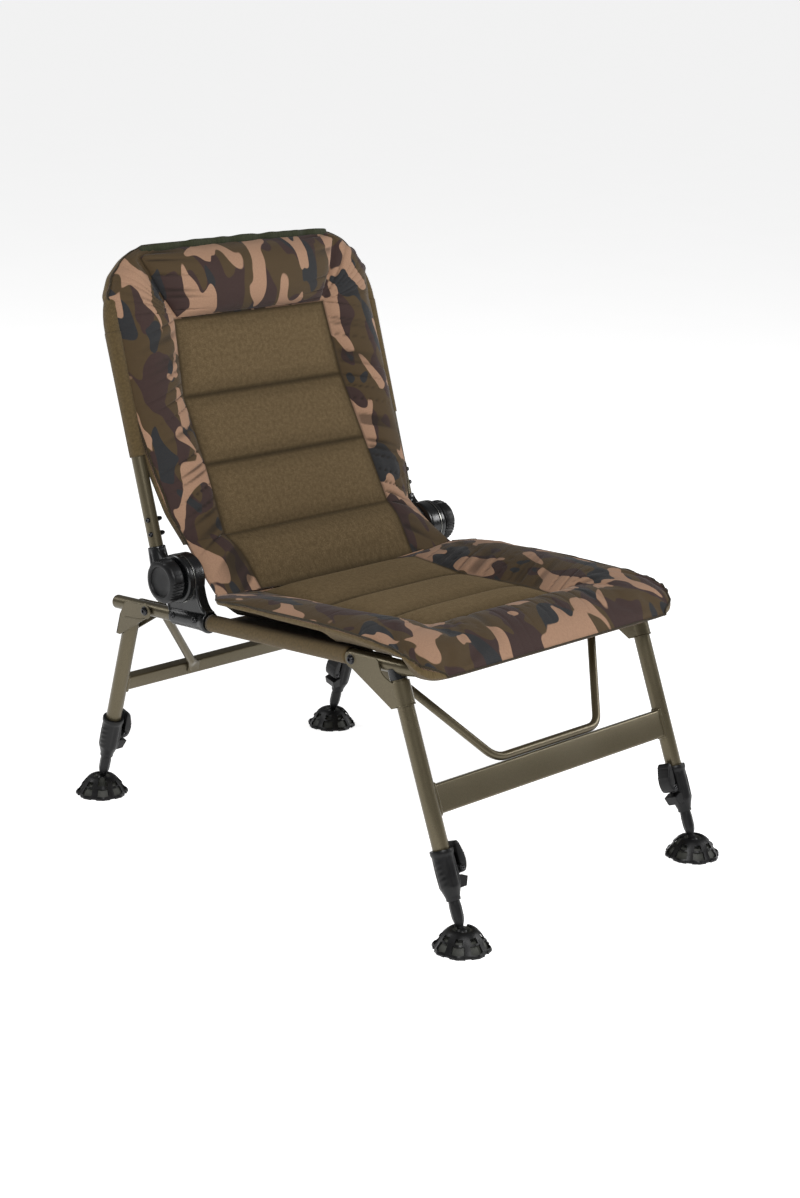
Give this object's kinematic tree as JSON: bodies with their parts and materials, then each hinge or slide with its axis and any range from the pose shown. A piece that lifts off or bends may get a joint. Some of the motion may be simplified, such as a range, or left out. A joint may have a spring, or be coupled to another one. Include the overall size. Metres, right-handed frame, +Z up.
{
  "type": "folding fishing chair",
  "caption": "Low folding bankside chair: tube frame, reclining padded back with pillow on friction hinges, legs that fold and extend, and swivelling mud feet.",
  "frame": {"origin": "on the floor, midway between the four feet", "axes": "+X to the sitter's left, +Y towards the back of the chair, +Z up; the X = 0 plane is the chair's plane of symmetry"},
  "size_m": [0.6186, 0.9126, 0.8997],
  "materials": {
    "frame_paint": "satin olive bronze enamel",
    "sling_canvas": "woven olive canvas",
    "mattress_cloth": "printed camouflage cloth with fleece channels",
    "fleece": "brushed olive fleece",
    "hinge_casting": "black, satin",
    "black_plastic": "black moulded, fine texture",
    "bolt_steel": "gloss black",
    "inner_leg_steel": "zinc plated"
  },
  "bodies": {
    "seat": {"seat_frame_tube": "frame_paint", "seat_sling": "sling_canvas", "mattress_seat": "mattress_cloth", "rail_plug_left": "black_plastic", "rail_plug_right": "black_plastic", "seat_casting_left": "hinge_casting", "seat_casting_right": "hinge_casting", "hinge_stud_left": "bolt_steel", "hinge_stud_right": "bolt_steel", "front_pivot_bolt_left": "bolt_steel", "front_pivot_bolt_right": "bolt_steel", "rear_pivot_bolt_left": "bolt_steel", "rear_pivot_bolt_right": "bolt_steel"},
    "back": {"back_frame_tube": "frame_paint", "back_sling": "sling_canvas", "mattress_fold": "fleece", "mattress_back": "mattress_cloth", "pillow": "mattress_cloth", "back_casting_left": "hinge_casting", "back_casting_right": "hinge_casting"},
    "knob_left": {"knob_left": "black_plastic"},
    "knob_right": {"knob_right": "black_plastic"},
    "front_legs": {"front_crossbar": "frame_paint", "front_brace": "frame_paint", "front_leg_tube_left": "frame_paint", "front_leg_tube_right": "frame_paint", "front_bracket_left": "frame_paint", "front_bracket_right": "frame_paint", "front_saddle_left": "black_plastic", "front_saddle_right": "black_plastic", "clamp_housing_front_left": "black_plastic", "clamp_housing_front_right": "black_plastic"},
    "rear_legs": {"rear_crossbar": "frame_paint", "rear_leg_tube_left": "frame_paint", "rear_leg_tube_right": "frame_paint", "rear_bracket_left": "frame_paint", "rear_bracket_right": "frame_paint", "rear_saddle_left": "black_plastic", "rear_saddle_right": "black_plastic", "rear_strut_left": "frame_paint", "rear_strut_right": "frame_paint", "clamp_housing_rear_left": "black_plastic", "clamp_housing_rear_right": "black_plastic"},
    "lever_front_left": {"clamp_lever_front_left": "black_plastic"},
    "leg_end_front_left": {"inner_leg_front_left": "inner_leg_steel", "ball_stem_front_left": "black_plastic"},
    "foot_front_left": {"mud_foot_front_left": "black_plastic"},
    "lever_front_right": {"clamp_lever_front_right": "black_plastic"},
    "leg_end_front_right": {"inner_leg_front_right": "inner_leg_steel", "ball_stem_front_right": "black_plastic"},
    "foot_front_right": {"mud_foot_front_right": "black_plastic"},
    "lever_rear_left": {"clamp_lever_rear_left": "black_plastic"},
    "leg_end_rear_left": {"inner_leg_rear_left": "inner_leg_steel", "ball_stem_rear_left": "black_plastic"},
    "foot_rear_left": {"mud_foot_rear_left": "black_plastic"},
    "lever_rear_right": {"clamp_lever_rear_right": "black_plastic"},
    "leg_end_rear_right": {"inner_leg_rear_right": "inner_leg_steel", "ball_stem_rear_right": "black_plastic"},
    "foot_rear_right": {"mud_foot_rear_right": "black_plastic"}
  },
  "joints": [
    {"name": "back_recline", "type": "hinge", "parent": "seat", "child": "back", "pos_m": [0, 0.1965, 0.41603], "axis": [1, 0, 0], "range_deg": [-40, 85], "deforming": ["mattress_fold"]},
    {"name": "knob_left_turn", "type": "hinge", "parent": "seat", "child": "knob_left", "pos_m": [0.295, 0.1965, 0.41603], "axis": [1, 0, 0], "range_deg": [0, 360]},
    {"name": "knob_right_turn", "type": "hinge", "parent": "seat", "child": "knob_right", "pos_m": [-0.295, 0.1965, 0.41603], "axis": [-1, 0, 0], "range_deg": [0, 360]},
    {"name": "front_legs_fold", "type": "hinge", "parent": "seat", "child": "front_legs", "pos_m": [0, -0.19354, 0.37885], "axis": [1, 0, 0], "range_deg": [0, 84]},
    {"name": "rear_legs_fold", "type": "hinge", "parent": "seat", "child": "rear_legs", "pos_m": [0, 0.27651, 0.34598], "axis": [1, 0, 0], "range_deg": [-106, 0]},
    {"name": "lever_front_left_open", "type": "hinge", "parent": "front_legs", "child": "lever_front_left", "pos_m": [0.2385, -0.38022, 0.10562], "axis": [0, -0.9291, 0.3698], "range_deg": [0, 90]},
    {"name": "leg_front_left_extend", "type": "slide", "parent": "front_legs", "child": "leg_end_front_left", "axis": [0, -0.3698, -0.9291], "range_m": [0, 0.09]},
    {"name": "foot_front_left_tilt", "type": "hinge", "parent": "leg_end_front_left", "child": "foot_front_left", "pos_m": [0.26, -0.4135, 0.022], "axis": [1, 0, 0], "range_deg": [-50, 8]},
    {"name": "lever_front_right_open", "type": "hinge", "parent": "front_legs", "child": "lever_front_right", "pos_m": [-0.2385, -0.38022, 0.10562], "axis": [0, 0.9291, -0.3698], "range_deg": [0, 90]},
    {"name": "leg_front_right_extend", "type": "slide", "parent": "front_legs", "child": "leg_end_front_right", "axis": [0, -0.3698, -0.9291], "range_m": [0, 0.09]},
    {"name": "foot_front_right_tilt", "type": "hinge", "parent": "leg_end_front_right", "child": "foot_front_right", "pos_m": [-0.26, -0.4135, 0.022], "axis": [1, 0, 0], "range_deg": [-50, 8]},
    {"name": "lever_rear_left_open", "type": "hinge", "parent": "rear_legs", "child": "lever_rear_left", "pos_m": [0.2385, 0.3884, 0.10843], "axis": [0, -0.9603, -0.2789], "range_deg": [0, 90]},
    {"name": "leg_rear_left_extend", "type": "slide", "parent": "rear_legs", "child": "leg_end_rear_left", "axis": [0, 0.2789, -0.9603], "range_m": [0, 0.09]},
    {"name": "foot_rear_left_tilt", "type": "hinge", "parent": "leg_end_rear_left", "child": "foot_rear_left", "pos_m": [0.26, 0.4135, 0.022], "axis": [1, 0, 0], "range_deg": [-14, 46]},
    {"name": "lever_rear_right_open", "type": "hinge", "parent": "rear_legs", "child": "lever_rear_right", "pos_m": [-0.2385, 0.3884, 0.10843], "axis": [0, 0.9603, 0.2789], "range_deg": [0, 90]},
    {"name": "leg_rear_right_extend", "type": "slide", "parent": "rear_legs", "child": "leg_end_rear_right", "axis": [0, 0.2789, -0.9603], "range_m": [0, 0.09]},
    {"name": "foot_rear_right_tilt", "type": "hinge", "parent": "leg_end_rear_right", "child": "foot_rear_right", "pos_m": [-0.26, 0.4135, 0.022], "axis": [1, 0, 0], "range_deg": [-14, 46]}
  ]
}
